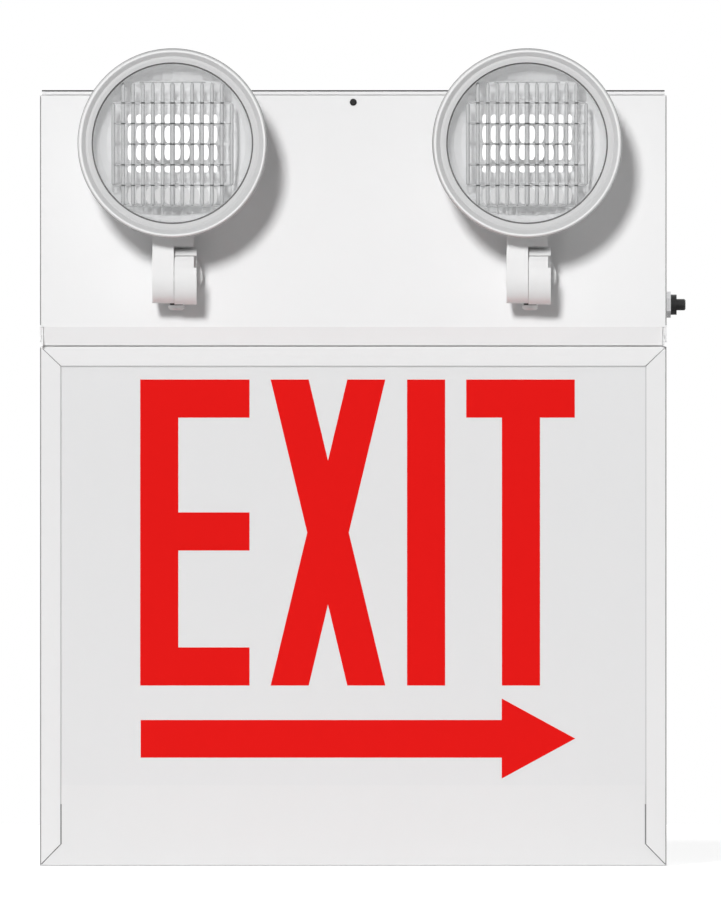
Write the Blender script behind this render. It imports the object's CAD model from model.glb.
import math

import bmesh
import bpy
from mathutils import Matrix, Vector


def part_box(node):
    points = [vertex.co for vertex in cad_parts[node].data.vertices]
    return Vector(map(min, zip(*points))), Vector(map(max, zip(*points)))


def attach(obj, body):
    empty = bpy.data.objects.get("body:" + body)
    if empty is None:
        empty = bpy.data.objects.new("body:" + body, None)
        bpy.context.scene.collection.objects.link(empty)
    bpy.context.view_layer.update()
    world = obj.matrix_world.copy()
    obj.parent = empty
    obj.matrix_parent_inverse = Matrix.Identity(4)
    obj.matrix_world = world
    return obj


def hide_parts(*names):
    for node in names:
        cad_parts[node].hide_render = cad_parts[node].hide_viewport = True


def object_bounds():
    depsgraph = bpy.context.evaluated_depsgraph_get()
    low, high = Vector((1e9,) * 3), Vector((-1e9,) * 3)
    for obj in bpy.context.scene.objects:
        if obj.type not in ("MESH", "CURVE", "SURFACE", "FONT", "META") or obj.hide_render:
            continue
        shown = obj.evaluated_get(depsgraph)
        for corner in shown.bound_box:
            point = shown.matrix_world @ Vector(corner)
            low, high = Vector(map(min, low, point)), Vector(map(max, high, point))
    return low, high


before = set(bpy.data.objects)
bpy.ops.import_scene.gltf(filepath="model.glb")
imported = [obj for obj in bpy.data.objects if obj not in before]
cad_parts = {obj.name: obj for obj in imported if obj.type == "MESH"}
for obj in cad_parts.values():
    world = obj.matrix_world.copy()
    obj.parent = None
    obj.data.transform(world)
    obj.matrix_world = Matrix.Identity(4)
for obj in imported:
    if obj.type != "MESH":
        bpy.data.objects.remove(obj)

cad_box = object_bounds()


# ---------------------------------------------------------------- steel housing
# The cabinet, the sign box and the cover are folded from thin sheet steel and powder
# coated white, with a fine orange-peel skin and slow, faint patches of tone.  The back
# plate is bare galvanised sheet.

COAT_WHITE = (0.81, 0.81, 0.812)
CHIN_WHITE = (0.875, 0.875, 0.877)
SIGN_WHITE = (0.765, 0.765, 0.767)
CAP_WHITE = (0.74, 0.74, 0.742)
ZINC_GREY = (0.68, 0.69, 0.70)
CHIN_HEIGHT = 0.0123
TONE_EDGE = 0.0002
GRAIN_DETAIL = 3.0
PATCH_SCALE = 14.0
PATCH_DETAIL = 4.0
PATCH_MEAN = 0.5
ROUGHNESS_SWING = 3.0


def new_group(name, inputs, outputs):
    """Start a shader node group with named sockets."""
    group = bpy.data.node_groups.new(name, "ShaderNodeTree")
    for label, kind, value in inputs:
        socket = group.interface.new_socket(label, in_out="INPUT", socket_type=kind)
        socket.default_value = value
    for label, kind in outputs:
        group.interface.new_socket(label, in_out="OUTPUT", socket_type=kind)
    return group, group.nodes.new("NodeGroupInput"), group.nodes.new("NodeGroupOutput")


def node(tree, kind, links=None, **settings):
    """Add a node, set its properties and sockets, and link what is linked."""
    made = tree.nodes.new(kind)
    for key, value in settings.items():
        setattr(made, key, value)
    for socket, value in (links or {}).items():
        if hasattr(value, "links"):
            tree.links.new(value, made.inputs[socket])
        else:
            made.inputs[socket].default_value = value
    return made


# Skin: the fine relief of a sprayed or moulded surface, with slow patches of tone.
skin, skin_in, skin_out = new_group(
    "fine_skin",
    [("Color", "NodeSocketColor", (0.8, 0.8, 0.8, 1)), ("Grain", "NodeSocketFloat", 900.0),
     ("Tone", "NodeSocketFloat", 0.02), ("Roughness", "NodeSocketFloat", 0.4)],
    [("Color", "NodeSocketColor"), ("Roughness", "NodeSocketFloat"), ("Height", "NodeSocketFloat")])
skin_place = node(skin, "ShaderNodeTexCoord")
skin_grain = node(skin, "ShaderNodeTexNoise", {"Vector": skin_place.outputs["Object"],
                                               "Scale": skin_in.outputs["Grain"], "Detail": GRAIN_DETAIL})
skin_patch = node(skin, "ShaderNodeTexNoise", {"Vector": skin_place.outputs["Object"],
                                               "Scale": PATCH_SCALE, "Detail": PATCH_DETAIL})
skin_shift = node(skin, "ShaderNodeMath", {0: skin_patch.outputs["Fac"], 1: PATCH_MEAN}, operation="SUBTRACT")
skin_amount = node(skin, "ShaderNodeMath", {0: skin_shift.outputs[0], 1: skin_in.outputs["Tone"]},
                   operation="MULTIPLY")
skin_value = node(skin, "ShaderNodeMath", {0: skin_amount.outputs[0], 1: 1.0}, operation="ADD")
skin_tone = node(skin, "ShaderNodeVectorMath", {0: skin_in.outputs["Color"]}, operation="SCALE")
skin.links.new(skin_value.outputs[0], skin_tone.inputs["Scale"])
skin_rough = node(skin, "ShaderNodeMath", {0: skin_amount.outputs[0], 1: ROUGHNESS_SWING,
                                           2: skin_in.outputs["Roughness"]}, operation="MULTIPLY_ADD")
skin.links.new(skin_tone.outputs[0], skin_out.inputs["Color"])
skin.links.new(skin_rough.outputs[0], skin_out.inputs["Roughness"])
skin.links.new(skin_grain.outputs["Fac"], skin_out.inputs["Height"])


def coated(name, colour, roughness=0.4, grain=900.0, tone=0.03, bump=0.05, depth=0.0002, **shader):
    """A material whose colour, roughness and relief come from the skin group."""
    material = bpy.data.materials.new(name)
    material.use_nodes = True
    tree = material.node_tree
    surface = tree.nodes["Principled BSDF"]
    coat = node(tree, "ShaderNodeGroup", node_tree=skin)
    coat.inputs["Color"].default_value = (*colour, 1)
    coat.inputs["Grain"].default_value = grain
    coat.inputs["Tone"].default_value = tone
    coat.inputs["Roughness"].default_value = roughness
    relief = node(tree, "ShaderNodeBump", {"Strength": bump, "Distance": depth,
                                           "Height": coat.outputs["Height"]})
    tree.links.new(coat.outputs["Color"], surface.inputs["Base Color"])
    tree.links.new(coat.outputs["Roughness"], surface.inputs["Roughness"])
    tree.links.new(relief.outputs["Normal"], surface.inputs["Normal"])
    for socket, value in shader.items():
        surface.inputs[socket.replace("_", " ")].default_value = value
    return material


def powder_coat(name, colour, roughness=0.42):
    """The sprayed and baked coat of the sheet steel."""
    return coated(name, colour, roughness=roughness, grain=1400.0, tone=0.02, Specular_IOR_Level=0.35)


def two_tone(material, level, below, above):
    """Give a coated material one colour below a height and another above it."""
    tree = material.node_tree
    coat = next(item for item in tree.nodes if item.type == "GROUP")
    place = node(tree, "ShaderNodeTexCoord")
    split = node(tree, "ShaderNodeSeparateXYZ", {"Vector": place.outputs["Object"]})
    step = node(tree, "ShaderNodeMapRange", {"Value": split.outputs["Z"], "From Min": level - TONE_EDGE,
                                             "From Max": level + TONE_EDGE})
    tint = node(tree, "ShaderNodeMix", {"Factor": step.outputs["Result"]}, data_type="RGBA")
    tint.inputs["A"].default_value = (*below, 1)
    tint.inputs["B"].default_value = (*above, 1)
    tree.links.new(tint.outputs["Result"], coat.inputs["Color"])


def finish_nodes(material, *names):
    """Give the named parts of the frame a material of their own."""
    for name in names:
        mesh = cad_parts[name].data
        mesh.materials.clear()
        mesh.materials.append(material)


finish_nodes(powder_coat("white_powder_coat", COAT_WHITE), "cabinet_shell", "cabinet_shelf")
cover_enamel = powder_coat("cover_powder_coat", COAT_WHITE)
two_tone(cover_enamel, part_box("front_cover")[0][2] + CHIN_HEIGHT, CHIN_WHITE, COAT_WHITE)
finish_nodes(cover_enamel, "front_cover")
finish_nodes(powder_coat("sign_powder_coat", SIGN_WHITE), "sign_housing", "panel_rail_left",
             "panel_rail_right", "reflector_tray")
finish_nodes(powder_coat("cap_powder_coat", CAP_WHITE, roughness=0.45), "bottom_cap")
zinc_sheet = coated("galvanised_sheet", ZINC_GREY, roughness=0.38, grain=260.0, tone=0.12, Metallic=0.9)
finish_nodes(zinc_sheet, "back_plate")


# ---------------------------------------------------------------- sheared edges
# Where the sheets were sheared and folded the coat is thin, so the open mitres, the lips'
# edges and the outer corners show as fine grey lines of bare steel.

LIP_WIDTH = 0.0136
LIP_HEIGHT = 0.013
MITRE_RISE = 0.0142
SEAM_RISE = 0.041
EDGE_PROUD = 0.00003
EDGE_DEPTH = 0.0006
MITRE_LINE = 0.00055
SEAM_LINE = 0.0009
CORNER_LINE = 0.0006
SHOULDER_LINE = 0.0004
LIP_SIDE_LINE = 0.0006
LIP_TOP_LINE = 0.0007
TOP_LINE = 0.0009
CORNER_INSET = 0.0004
CORNER_END = 0.0008
SEAM_INSET = 0.0003
LIP_LINE_INSET = 0.0001
MITRE_START = (0.0010, 0.0012)
SHOULDER_START = (0.0018, 0.0016)
COVER_LINE_RISE = 0.0135

housing_low, housing_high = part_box("sign_housing")
cover_low, cover_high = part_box("front_cover")
shell_low, shell_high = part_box("cabinet_shell")
half_width = housing_high[0]
sign_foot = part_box("bottom_cap")[0][2]
sign_top = housing_high[2]
lip_edge = half_width - LIP_WIDTH
lip_shoulder = sign_top - LIP_HEIGHT
mitre_top = sign_foot + MITRE_RISE
seam_top = sign_foot + SEAM_RISE
corner = half_width - CORNER_INSET
seam = lip_edge - SEAM_INSET
lip_side = lip_edge - LIP_LINE_INSET
lip_under = lip_shoulder - LIP_LINE_INSET
top_line = shell_high[2] - TOP_LINE / 2


def finished_mesh(name, work):
    """Turn the faces outward and keep them as a mesh."""
    mesh = bpy.data.meshes.new(name)
    bmesh.ops.recalc_face_normals(work, faces=work.faces)
    work.to_mesh(mesh)
    work.free()
    return mesh


def fitted(name, mesh, material, body):
    """Fit a new piece to a body, with its material."""
    mesh.materials.append(material)
    piece = bpy.data.objects.new(name, mesh)
    bpy.context.scene.collection.objects.link(piece)
    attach(piece, body)
    return piece


def edge_lines(name, body, material, front, runs):
    """Thin flat bars on a front face, each from one (x, z) point to another, on both sides."""
    work = bmesh.new()
    for start, end, width in runs:
        for side in (-1, 1):
            along = Vector((side * (end[0] - start[0]), end[1] - start[1])).normalized()
            across = Vector((-along.y, along.x)) * width / 2
            corners = [Vector((side * point[0], point[1])) + sign * across
                       for point, sign in ((start, -1), (end, -1), (end, 1), (start, 1))]
            near = [work.verts.new((spot.x, front - EDGE_PROUD, spot.y)) for spot in corners]
            far = [work.verts.new((spot.x, front + EDGE_DEPTH, spot.y)) for spot in corners]
            work.faces.new(near)
            work.faces.new(far[::-1])
            for i in range(4):
                j = (i + 1) % 4
                work.faces.new((near[j], near[i], far[i], far[j]))
    fitted(name, finished_mesh(name, work), material, body)


dark_edge = coated("open_mitre", (0.10, 0.10, 0.10), roughness=0.6, tone=0.3)
grey_edge = coated("thin_coat_edge", (0.20, 0.20, 0.20), roughness=0.6, tone=0.2)
pale_edge = coated("lip_edge", (0.50, 0.50, 0.505), roughness=0.6, tone=0.1)
black_edge = coated("top_seal", (0.015, 0.015, 0.015), roughness=0.6, tone=0.2)
edge_lines("bottom_mitres", "housing", dark_edge, housing_low[1],
           [((half_width - MITRE_START[0], sign_foot + MITRE_START[1]), (lip_edge, mitre_top), MITRE_LINE)])
edge_lines("cap_seams", "housing", grey_edge, housing_low[1],
           [((seam, mitre_top), (seam, seam_top), SEAM_LINE),
            ((corner, sign_foot + CORNER_END), (corner, sign_top - CORNER_END), CORNER_LINE),
            ((half_width - SHOULDER_START[0], sign_top - SHOULDER_START[1]), (lip_edge, lip_shoulder),
             SHOULDER_LINE)])
edge_lines("lip_edges", "housing", pale_edge, housing_low[1],
           [((lip_side, seam_top), (lip_side, lip_shoulder), LIP_SIDE_LINE),
            ((0.0, lip_under), (lip_edge, lip_under), LIP_TOP_LINE)])
edge_lines("cover_edges", "cover", grey_edge, cover_low[1],
           [((corner, cover_low[2] + COVER_LINE_RISE), (corner, cover_high[2] - CORNER_END), CORNER_LINE)])
edge_lines("top_edge", "housing", black_edge, shell_low[1],
           [((0.0, top_line), (shell_high[0], top_line), TOP_LINE)])


# ---------------------------------------------------------------- legend panel
# A white translucent plastic sheet lies behind the lips of the sign.  The word and the
# arrow are red film on its face: plain block letters, as on any sign of this kind.

PANEL_WHITE = (0.725, 0.727, 0.731)
FILM_RED = (0.724, 0.0085, 0.0075)
FILM_THICKNESS = 0.00018
LETTER_RISE = 0.1197
LETTER_HEIGHT = 0.2032
STROKE = 0.0253
E_SIDES = (-0.1415, -0.0689)
E_ARM_RISE = 0.0007
X_SIDES = (-0.0549, 0.0213)
X_HALF_WAIST = 0.0138
X_NOTCH = 0.53
I_LEFT = 0.0357
T_SIDES = (0.0750, 0.1471)
T_STEM = 0.0987
SHAFT_RISES = (0.0718, 0.0968)
BARB_RISES = (0.0579, 0.1111)
ARROW_TAIL = -0.1412
ARROW_NECK = 0.0986
ARROW_TIP = (0.1474, 0.0845)

panel_white = coated("panel_plastic", PANEL_WHITE, roughness=0.5, grain=500.0, tone=0.015, bump=0.02)
finish_nodes(panel_white, "legend_panel")
red_film = coated("red_film", FILM_RED, roughness=0.45, grain=700.0, tone=0.02, bump=0.02,
                  Specular_IOR_Level=0.08)
panel_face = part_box("legend_panel")[0][1]
letter_foot = sign_foot + LETTER_RISE
letter_top = letter_foot + LETTER_HEIGHT
letter_middle = (letter_foot + letter_top) / 2


def film_piece(name, outlines):
    """One piece of film cut to flat outlines, each a list of (x, z) corners."""
    work = bmesh.new()
    for outline in outlines:
        front = [work.verts.new((x, panel_face - FILM_THICKNESS, z)) for x, z in outline]
        rear = [work.verts.new((x, panel_face, z)) for x, z in outline]
        work.faces.new(front)
        work.faces.new(rear[::-1])
        for i in range(len(outline)):
            j = (i + 1) % len(outline)
            work.faces.new((front[j], front[i], rear[i], rear[j]))
    fitted(name, finished_mesh(name, work), red_film, "housing")


def letter_e(left, right):
    """An upright with three arms, the middle one a little above half height."""
    stem = left + STROKE
    arm_low = letter_middle + E_ARM_RISE - STROKE / 2
    arm_high = letter_middle + E_ARM_RISE + STROKE / 2
    return [(left, letter_foot), (right, letter_foot), (right, letter_foot + STROKE),
            (stem, letter_foot + STROKE), (stem, arm_low), (right, arm_low), (right, arm_high),
            (stem, arm_high), (stem, letter_top - STROKE), (right, letter_top - STROKE),
            (right, letter_top), (left, letter_top)]


def letter_x(left, right):
    """Two crossed strokes, with the notches where their edges meet."""
    middle = (left + right) / 2
    notch = (letter_middle - letter_foot) * X_NOTCH
    return [(left, letter_foot), (left + STROKE, letter_foot), (middle, letter_foot + notch),
            (right - STROKE, letter_foot), (right, letter_foot), (middle + X_HALF_WAIST, letter_middle),
            (right, letter_top), (right - STROKE, letter_top), (middle, letter_top - notch),
            (left + STROKE, letter_top), (left, letter_top), (middle - X_HALF_WAIST, letter_middle)]


def letter_i(left):
    """One plain upright."""
    right = left + STROKE
    return [(left, letter_foot), (right, letter_foot), (right, letter_top), (left, letter_top)]


def letter_t(left, right, stem):
    """A bar across the top of an upright."""
    bar = letter_top - STROKE
    return [(left, bar), (stem, bar), (stem, letter_foot), (stem + STROKE, letter_foot),
            (stem + STROKE, bar), (right, bar), (right, letter_top), (left, letter_top)]


film_piece("exit_word", [letter_e(*E_SIDES), letter_x(*X_SIDES), letter_i(I_LEFT),
                         letter_t(*T_SIDES, T_STEM)])
shaft_low, shaft_high = [sign_foot + rise for rise in SHAFT_RISES]
barb_low, barb_high = [sign_foot + rise for rise in BARB_RISES]
film_piece("arrow", [[(ARROW_TAIL, shaft_low), (ARROW_NECK, shaft_low), (ARROW_NECK, barb_low),
                      (ARROW_TIP[0], sign_foot + ARROW_TIP[1]), (ARROW_NECK, barb_high),
                      (ARROW_NECK, shaft_high), (ARROW_TAIL, shaft_high)]])


# ---------------------------------------------------------------- lamp heads
# The shells, bezels and knuckles are white injection-moulded plastic, a little glossier
# than the steel.  Inside each head lie a satin reflector bowl, a frosted lamp and its holder.

SHELL_WHITE = (0.80, 0.80, 0.80)
BEZEL_GREY = (0.62, 0.62, 0.623)
BOWL_SILVER = (0.91, 0.912, 0.915)
PLATE_GREY = (0.72, 0.72, 0.73)
SCREW_RIM = (0.72, 0.72, 0.72)
SCREW_NECK = (0.03, 0.03, 0.03)
SCREW_HEAD_HEIGHT = 0.0032

lamp_plastic = coated("white_moulding", SHELL_WHITE, roughness=0.33, grain=2200.0, tone=0.015,
                      bump=0.03, Specular_IOR_Level=0.45)
bezel_plastic = coated("bezel_moulding", BEZEL_GREY, roughness=0.3, grain=2200.0, tone=0.03,
                       bump=0.03, Specular_IOR_Level=0.5)
satin_bowl = coated("satin_bowl", BOWL_SILVER, roughness=0.45, grain=240.0, tone=0.12,
                    bump=0.08, depth=0.0004, Metallic=0.2)
gasket_rubber = coated("pale_gasket", (0.7, 0.7, 0.7), roughness=0.7, grain=500.0, tone=0.05)
holder_ceramic = coated("lamp_holder", (0.75, 0.74, 0.7), roughness=0.6, grain=400.0, tone=0.06)
frosted_bulb = coated("frosted_lamp", (0.8, 0.8, 0.8), roughness=0.3, grain=300.0, tone=0.1)
plated = coated("plated_steel", PLATE_GREY, roughness=0.3, grain=600.0, tone=0.1, Metallic=1.0)
screw_steel = coated("swivel_screw_steel", SCREW_RIM, roughness=0.35, grain=600.0, tone=0.2, Metallic=0.3)
two_tone(screw_steel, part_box("left_swivel_screw")[0][2] + SCREW_HEAD_HEIGHT, SCREW_RIM, SCREW_NECK)
for side in ("left", "right"):
    finish_nodes(lamp_plastic, side + "_head_shell", side + "_elbow")
    finish_nodes(bezel_plastic, side + "_bezel")
    finish_nodes(satin_bowl, side + "_reflector")
    finish_nodes(gasket_rubber, side + "_gasket")
    finish_nodes(holder_ceramic, side + "_socket")
    finish_nodes(frosted_bulb, side + "_bulb")
    finish_nodes(plated, side + "_spigot_nut", side + "_pivot_bolt", side + "_pivot_nut", "pivot_pin_" + side)
    finish_nodes(screw_steel, side + "_swivel_screw")


# ---------------------------------------------------------------- pressed lenses
# Each lens is one pressing of clear glass: a shallow dome in front, and behind it upright
# flutes in rows.  The ribs between the flutes are frosted by the mould, and the flutes in
# front of the lamp fill with its light.

GLASS_TINT = (0.985, 0.988, 0.99, 1)
GLASS_INDEX = 1.49
WAVE_SCALE = 160.0
WAVE_DETAIL = 2.0
WAVE_BUMP = 0.1
WAVE_DEPTH = 0.0002
GLASS_ROUGHNESS = (0.02, 0.08)
FLUTE_PITCH = 0.0065
ROW_PITCH = 0.0136
ROW_SAG = 0.0006
FLUTE_SWELL = 0.0009
FLUTED_REACH = 0.0390
BED_RADIUS = 0.0525
OPENING_RADIUS = 0.0535
BED_DEPTH = 0.0032
RIM_DEPTH = 0.0030
RIM_CLEARANCE = 0.0001
DOME_RISE = 0.0026
DOME_RINGS = 24
BED_RINGS = 100
ROUND_STEPS = 288

glass = bpy.data.materials.new("pressed_glass")
glass.use_nodes = True
melt = glass.node_tree
glass_surface = melt.nodes["Principled BSDF"]
glass_surface.inputs["Base Color"].default_value = GLASS_TINT
glass_surface.inputs["Transmission Weight"].default_value = 1.0
glass_surface.inputs["IOR"].default_value = GLASS_INDEX
glass_place = node(melt, "ShaderNodeTexCoord")
glass_wave = node(melt, "ShaderNodeTexNoise", {"Vector": glass_place.outputs["Object"],
                                               "Scale": WAVE_SCALE, "Detail": WAVE_DETAIL})
glass_bump = node(melt, "ShaderNodeBump", {"Strength": WAVE_BUMP, "Distance": WAVE_DEPTH,
                                           "Height": glass_wave.outputs["Fac"]})
glass_rough = node(melt, "ShaderNodeMapRange", {"Value": glass_wave.outputs["Fac"],
                                                "To Min": GLASS_ROUGHNESS[0], "To Max": GLASS_ROUGHNESS[1]})
melt.links.new(glass_rough.outputs["Result"], glass_surface.inputs["Roughness"])
melt.links.new(glass_bump.outputs["Normal"], glass_surface.inputs["Normal"])
frosted_rib = coated("frosted_rib", (0.54, 0.545, 0.55), roughness=0.35, grain=500.0, tone=0.2)
lit_flute = coated("lit_flute", (0.8, 0.8, 0.8), roughness=0.5, grain=500.0, tone=0.02,
                   Emission_Color=(1, 1, 1, 1), Emission_Strength=0.55)
pale_flute = coated("pale_flute", (0.66, 0.66, 0.66), roughness=0.4, grain=500.0, tone=0.04)
bright_bead = coated("bezel_bead", (0.88, 0.88, 0.88), roughness=0.25, tone=0.02)
lens_seal = coated("lens_seal", (0.17, 0.17, 0.17), roughness=0.6, grain=500.0, tone=0.1)


def lens_piece(name, work, material, smooth=True):
    """Fit one piece of a lens to the lamp head that its name starts with."""
    mesh = finished_mesh(name, work)
    for face in mesh.polygons:
        face.use_smooth = smooth
    return fitted(name, mesh, material, name.split("_")[0] + "_lamp")


def flute_swell(x, z):
    """How far the back of the glass swells at a point: round across a flute, square along a row."""
    if abs(x) > FLUTED_REACH:
        return 0.0
    across = abs(x) / FLUTE_PITCH % 1 * 2 - 1
    along = abs(z) / ROW_PITCH % 1 * 2 - 1
    return FLUTE_SWELL * (1 - across ** 2) * (1 - along ** 8)


def pressed_glass(centre, front, rim_radius):
    """The pressing as one closed form: dome, edge, seat, and the fluted bed at the back."""
    face = front + DOME_RISE
    floor = face + RIM_DEPTH + BED_DEPTH - FLUTE_SWELL
    rings = []
    for k in range(1, DOME_RINGS + 1):
        share = k / DOME_RINGS
        rings.append((OPENING_RADIUS * share, lambda x, z, share=share: front + DOME_RISE * share ** 2))
    rings += [(rim_radius, lambda x, z: face), (rim_radius, lambda x, z: face + RIM_DEPTH),
              (BED_RADIUS, lambda x, z: face + RIM_DEPTH)]
    for k in range(BED_RINGS, 0, -1):
        rings.append((BED_RADIUS * k / BED_RINGS, lambda x, z: floor + flute_swell(x, z)))
    work = bmesh.new()
    crown = work.verts.new((centre[0], front, centre[1]))
    loops = []
    for radius, depth in rings:
        loop = []
        for step in range(ROUND_STEPS):
            turn = 2 * math.pi * step / ROUND_STEPS
            x = radius * math.cos(turn)
            z = radius * math.sin(turn)
            loop.append(work.verts.new((centre[0] + x, depth(x, z), centre[1] + z)))
        loops.append(loop)
    middle = work.verts.new((centre[0], floor + flute_swell(0, 0), centre[1]))
    for step in range(ROUND_STEPS):
        after = (step + 1) % ROUND_STEPS
        work.faces.new((crown, loops[0][step], loops[0][after]))
        work.faces.new((middle, loops[-1][after], loops[-1][step]))
        for near, far in zip(loops, loops[1:]):
            work.faces.new((near[step], far[step], far[after], near[after]))
    return work


RIB_SINK = 0.0004
RIB_HEIGHT = 0.8
RIB_SIDES = 6
RIB_TAPER = ((0.0, 0.15), (0.012, 0.8), (0.03, 1.0), (0.97, 1.0), (0.988, 0.8), (1.0, 0.15))
UPRIGHT_RADIUS = 0.0013
MIDDLE_UPRIGHT_RADIUS = 0.0017
ROW_RIB_RADIUS = 0.00045
UPRIGHT_ROWS = {-6: 2, 6: 2}
INNER_UPRIGHT_ROWS = 3
ROW_REACHES = ((-3, 0.034), (-2, 0.039), (-1, 0.039), (0, 0.030), (1, 0.039), (2, 0.039), (3, 0.022))


def half_round(work, centre, plane, start, end, radius):
    """A rib with a half-round back and tapered ends, from one (x, z) point to another."""
    start = Vector(start)
    end = Vector(end)
    along = (end - start).normalized()
    across = Vector((-along.y, along.x))
    loops = []
    for place, size in RIB_TAPER:
        middle = start.lerp(end, place)
        loop = []
        for step in range(RIB_SIDES + 1):
            turn = math.pi * step / RIB_SIDES
            edge = middle + across * radius * size * math.cos(turn)
            back = plane + RIB_HEIGHT * radius * size * math.sin(turn)
            loop.append(work.verts.new((centre[0] + edge.x, back, centre[1] + edge.y)))
        loops.append(loop)
    for first, second in zip(loops, loops[1:]):
        for i in range(len(first)):
            j = (i + 1) % len(first)
            work.faces.new((first[i], first[j], second[j], second[i]))
    work.faces.new(loops[0][::-1])
    work.faces.new(loops[-1])


def ribs(centre, plane):
    """Upright ribs between the flutes and finer ones between the rows."""
    work = bmesh.new()
    for column in range(-6, 7):
        reach = UPRIGHT_ROWS.get(column, INNER_UPRIGHT_ROWS) * ROW_PITCH
        x = column * FLUTE_PITCH
        half_round(work, centre, plane, (x, -reach - ROW_SAG), (x, reach - ROW_SAG),
                   UPRIGHT_RADIUS if column else MIDDLE_UPRIGHT_RADIUS)
    for row, reach in ROW_REACHES:
        z = row * ROW_PITCH - ROW_SAG
        half_round(work, centre, plane, (-reach, z), (reach, z), ROW_RIB_RADIUS)
    return work


# The filled flutes: each column's distance from the middle and its width, and each row's
# top and bottom.
FILLED_COLUMNS = ((0.0027, 0.0050), (0.0088, 0.0050), (0.0152, 0.0046), (0.0217, 0.0044), (0.0279, 0.0032))
LIT_ROWS = ((0.0190, 0.0127), (0.0115, 0.0005), (-0.0010, -0.0110), (-0.0149, -0.0192))
PALE_ROWS = ((-0.0292, -0.0398),)
FILL_LIFT = 0.00005
FILL_CROWN = 0.0005
FILL_STEPS = 24
FILL_SQUARENESS = 0.85


def fillings(centre, plane, rows):
    """Low pillows on the back of the glass, one in each filled flute of the given rows."""
    work = bmesh.new()
    for offset, width in FILLED_COLUMNS:
        for way in (-1, 1):
            for high, low in rows:
                middle = (centre[0] + way * offset, centre[1] + (high + low) / 2)
                rim = []
                for step in range(FILL_STEPS):
                    turn = 2 * math.pi * step / FILL_STEPS
                    cosine = math.cos(turn)
                    sine = math.sin(turn)
                    x = width / 2 * math.copysign(abs(cosine) ** FILL_SQUARENESS, cosine)
                    z = (high - low) / 2 * math.copysign(abs(sine) ** FILL_SQUARENESS, sine)
                    rim.append(work.verts.new((middle[0] + x, plane, middle[1] + z)))
                crown = work.verts.new((middle[0], plane + FILL_CROWN, middle[1]))
                work.faces.new(rim)
                for i in range(FILL_STEPS):
                    work.faces.new((rim[i], crown, rim[(i + 1) % FILL_STEPS]))
    return work


CORD_STEPS = 144
CORD_SIDES = 8
BEAD_RADIUS = 0.0609
BEAD_THICKNESS = 0.0009
BEAD_SETBACK = 0.0007
SEAL_RADIUS = 0.0530
SEAL_THICKNESS = 0.0005
OUTER_SEAL_INSET = 0.0006
OUTER_SEAL_SETBACK = 0.0026


def round_cords(centre, cords):
    """Closed round cords, each given by its radius, its depth and its own thickness."""
    work = bmesh.new()
    for radius, depth, thick in cords:
        loops = []
        for step in range(CORD_STEPS):
            turn = 2 * math.pi * step / CORD_STEPS
            loop = []
            for facet in range(CORD_SIDES):
                tilt = 2 * math.pi * facet / CORD_SIDES
                out = radius + thick * math.cos(tilt)
                loop.append(work.verts.new((centre[0] + out * math.cos(turn), depth + thick * math.sin(tilt),
                                            centre[1] + out * math.sin(turn))))
            loops.append(loop)
        for i, loop in enumerate(loops):
            after = loops[(i + 1) % CORD_STEPS]
            for here in range(CORD_SIDES):
                beside = (here + 1) % CORD_SIDES
                work.faces.new((loop[here], loop[beside], after[beside], after[here]))
    return work


for side in ("left", "right"):
    glass_low, glass_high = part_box(side + "_lens")
    bezel_low, bezel_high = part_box(side + "_bezel")
    centre = ((bezel_low[0] + bezel_high[0]) / 2, (bezel_low[2] + bezel_high[2]) / 2)
    rim_radius = (glass_high[0] - glass_low[0]) / 2 - RIM_CLEARANCE
    outer_seal_radius = (bezel_high[0] - bezel_low[0]) / 2 - OUTER_SEAL_INSET
    glass_front = glass_low[1]
    glass_back = glass_front + DOME_RISE + RIM_DEPTH + BED_DEPTH
    lens = lens_piece(side + "_pressed_lens", pressed_glass(centre, glass_front, rim_radius), glass)
    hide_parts(side + "_lens")
    lens.visible_shadow = False
    lens.visible_diffuse = False
    lens_piece(side + "_lens_ribs", ribs(centre, glass_back - RIB_SINK), frosted_rib)
    fill_plane = glass_back + FILL_LIFT
    lens_piece(side + "_lit_flutes", fillings(centre, fill_plane, LIT_ROWS), lit_flute, smooth=False)
    lens_piece(side + "_pale_flutes", fillings(centre, fill_plane, PALE_ROWS), pale_flute, smooth=False)
    bead = (BEAD_RADIUS, bezel_low[1] + BEAD_SETBACK, BEAD_THICKNESS)
    inner_seal = (SEAL_RADIUS, glass_front + DOME_RISE, SEAL_THICKNESS)
    outer_seal = (outer_seal_radius, bezel_low[1] + OUTER_SEAL_SETBACK, SEAL_THICKNESS)
    lens_piece(side + "_bezel_bead", round_cords(centre, [bead]), bright_bead)
    lens_piece(side + "_lens_seal", round_cords(centre, [inner_seal, outer_seal]), lens_seal)


# ---------------------------------------------------------------- test switch and cover screw
# A push switch stands in the right-hand wall: a plated nut and washer hold it, and its
# guard ring and button are black plastic.  The cover's captive screw is blackened steel.

black_plastic = coated("black_moulding", (0.012, 0.012, 0.013), roughness=0.35, grain=1500.0, tone=0.1)
finish_nodes(black_plastic, "test_switch_body", "test_switch_collar", "test_button")
finish_nodes(plated, "test_switch_washer", "test_switch_nut")
black_steel = coated("blackened_steel", (0.03, 0.03, 0.03), tone=0.2, Metallic=0.6)
finish_nodes(black_steel, "cover_screw")


# ---------------------------------------------------------------- inside the housing
# Behind the cover stand the battery with its strap, the transformer and the charger
# board on nylon posts.  Two strips of diodes light the sign from its top and bottom.

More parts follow.
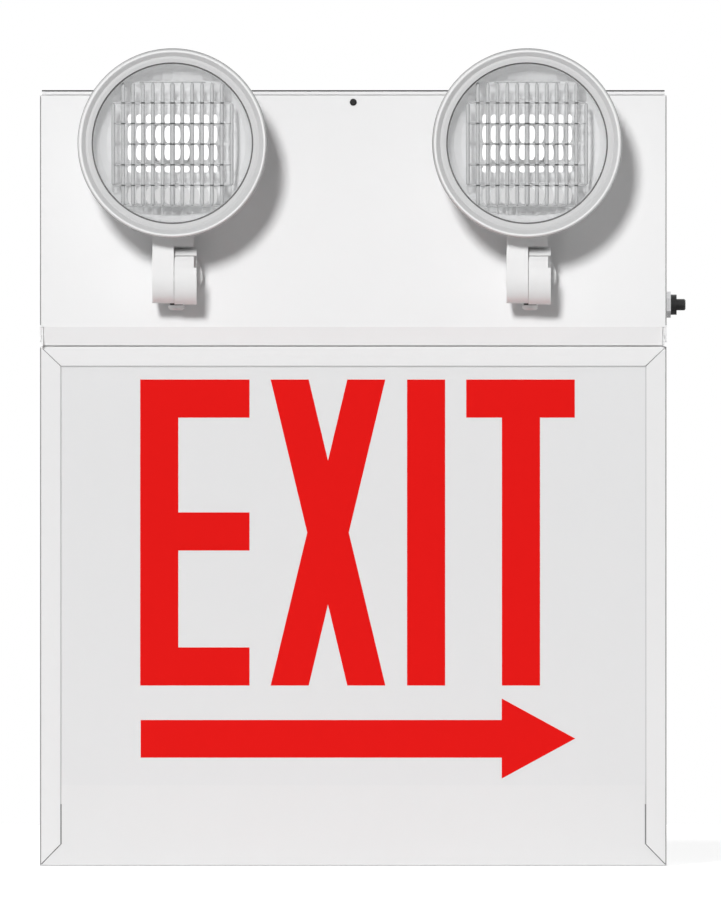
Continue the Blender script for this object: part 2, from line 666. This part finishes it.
battery_case = coated("battery_case", (0.03, 0.03, 0.035), roughness=0.55, grain=800.0, tone=0.1)
finish_nodes(battery_case, "battery")
finish_nodes(plated, "battery_strap", "board_screws")
varnished_core = coated("varnished_core", (0.08, 0.07, 0.06), grain=1200.0, tone=0.2)
finish_nodes(varnished_core, "transformer")
board_green = coated("circuit_board", (0.02, 0.16, 0.06), roughness=0.35, grain=400.0, tone=0.15)
finish_nodes(board_green, "charger_board", "led_strip_lower", "led_strip_upper")
nylon = coated("nylon", (0.78, 0.77, 0.72), roughness=0.5, tone=0.05)
finish_nodes(nylon, "board_standoffs", "terminal_block")


# ---------------------------------------------------------------- studio
# A pale floor under the sign, one broad key from the upper left of the front, soft fills
# from the sides, the back and below, an even white surround, and a long lens square to
# the sign's face.

FLOOR_REACH = 3.0
FLOOR_GAP = 0.0002
FLOOR_PALE = (0.85, 0.85, 0.85, 1)
FLOOR_ROUGHNESS = 0.9
FLOOR_LIFT = 0.62
WHITE_LIGHT = (1, 1, 1, 1)
SURROUND_GLOW = 0.11
SURROUND_SEEN = 1.0

scene = bpy.context.scene
scene.view_settings.view_transform = "Standard"
floor_level = cad_box[0][2] - FLOOR_GAP
floor_mesh = bpy.data.meshes.new("floor")
floor_mesh.from_pydata([(x * FLOOR_REACH, y * FLOOR_REACH, floor_level) for x, y in
                        ((-1, -1), (1, -1), (1, 1), (-1, 1))], [], [(0, 1, 2, 3)])
floor = bpy.data.objects.new("floor", floor_mesh)
scene.collection.objects.link(floor)
floor_paint = bpy.data.materials.new("floor_paint")
floor_paint.use_nodes = True
floor_tree = floor_paint.node_tree
floor_surface = floor_tree.nodes["Principled BSDF"]
floor_surface.inputs["Base Color"].default_value = FLOOR_PALE
floor_surface.inputs["Roughness"].default_value = FLOOR_ROUGHNESS
floor_path = node(floor_tree, "ShaderNodeLightPath")
floor_lift = node(floor_tree, "ShaderNodeMath", {0: floor_path.outputs["Is Camera Ray"], 1: FLOOR_LIFT},
                  operation="MULTIPLY")
floor_surface.inputs["Emission Color"].default_value = WHITE_LIGHT
floor_tree.links.new(floor_lift.outputs[0], floor_surface.inputs["Emission Strength"])
floor_mesh.materials.append(floor_paint)

world = bpy.data.worlds.new("surround")
scene.world = world
world.use_nodes = True
sky = world.node_tree
backdrop = sky.nodes["Background"]
paths = node(sky, "ShaderNodeLightPath")
seen = node(sky, "ShaderNodeMath", {0: paths.outputs["Is Camera Ray"], 1: paths.outputs["Is Glossy Ray"]},
            operation="MAXIMUM")
seen_all = node(sky, "ShaderNodeMath", {0: seen.outputs[0], 1: paths.outputs["Is Transmission Ray"]},
                operation="MAXIMUM")
strength = node(sky, "ShaderNodeMapRange", {"Value": seen_all.outputs[0], "To Min": SURROUND_GLOW,
                                            "To Max": SURROUND_SEEN})
sky.links.new(strength.outputs["Result"], backdrop.inputs["Strength"])
backdrop.inputs["Color"].default_value = WHITE_LIGHT

# Each lamp: name, strength, angular size in degrees, and the way its light travels.
LAMPS = (("key", 2.6, 7, (0.15, 1.0, -0.27)), ("rear_fill", 0.6, 20, (0.4, -1.0, -0.5)),
         ("low_fill", 0.15, 80, (0.0, 1.0, 0.75)), ("left_fill", 1.35, 20, (1.0, -0.35, -0.1)),
         ("right_fill", 1.35, 20, (-1.0, -0.35, -0.1)))
for name, energy, size, way in LAMPS:
    lamp_data = bpy.data.lights.new(name, "SUN")
    lamp_data.energy = energy
    lamp_data.angle = math.radians(size)
    lamp = bpy.data.objects.new(name, lamp_data)
    lamp.rotation_euler = Vector(way).to_track_quat("-Z", "Y").to_euler()
    lamp.visible_glossy = False
    lamp.visible_transmission = False
    scene.collection.objects.link(lamp)

DISTANCE = 28.0
VIEW_HEIGHT = 0.5975
VIEW_MIDDLE = (0.0048, 0.0186)
SENSOR_HEIGHT = 24.0
SIGHT_LIMIT = 100.0
camera_data = bpy.data.cameras.new("camera")
camera_data.sensor_fit = "VERTICAL"
camera_data.sensor_height = SENSOR_HEIGHT
camera_data.lens = SENSOR_HEIGHT * DISTANCE / VIEW_HEIGHT
camera_data.clip_end = SIGHT_LIMIT
camera = bpy.data.objects.new("camera", camera_data)
camera.location = (VIEW_MIDDLE[0], cover_low[1] - DISTANCE, VIEW_MIDDLE[1])
camera.rotation_euler = (math.pi / 2, 0.0, 0.0)
scene.collection.objects.link(camera)
scene.camera = camera
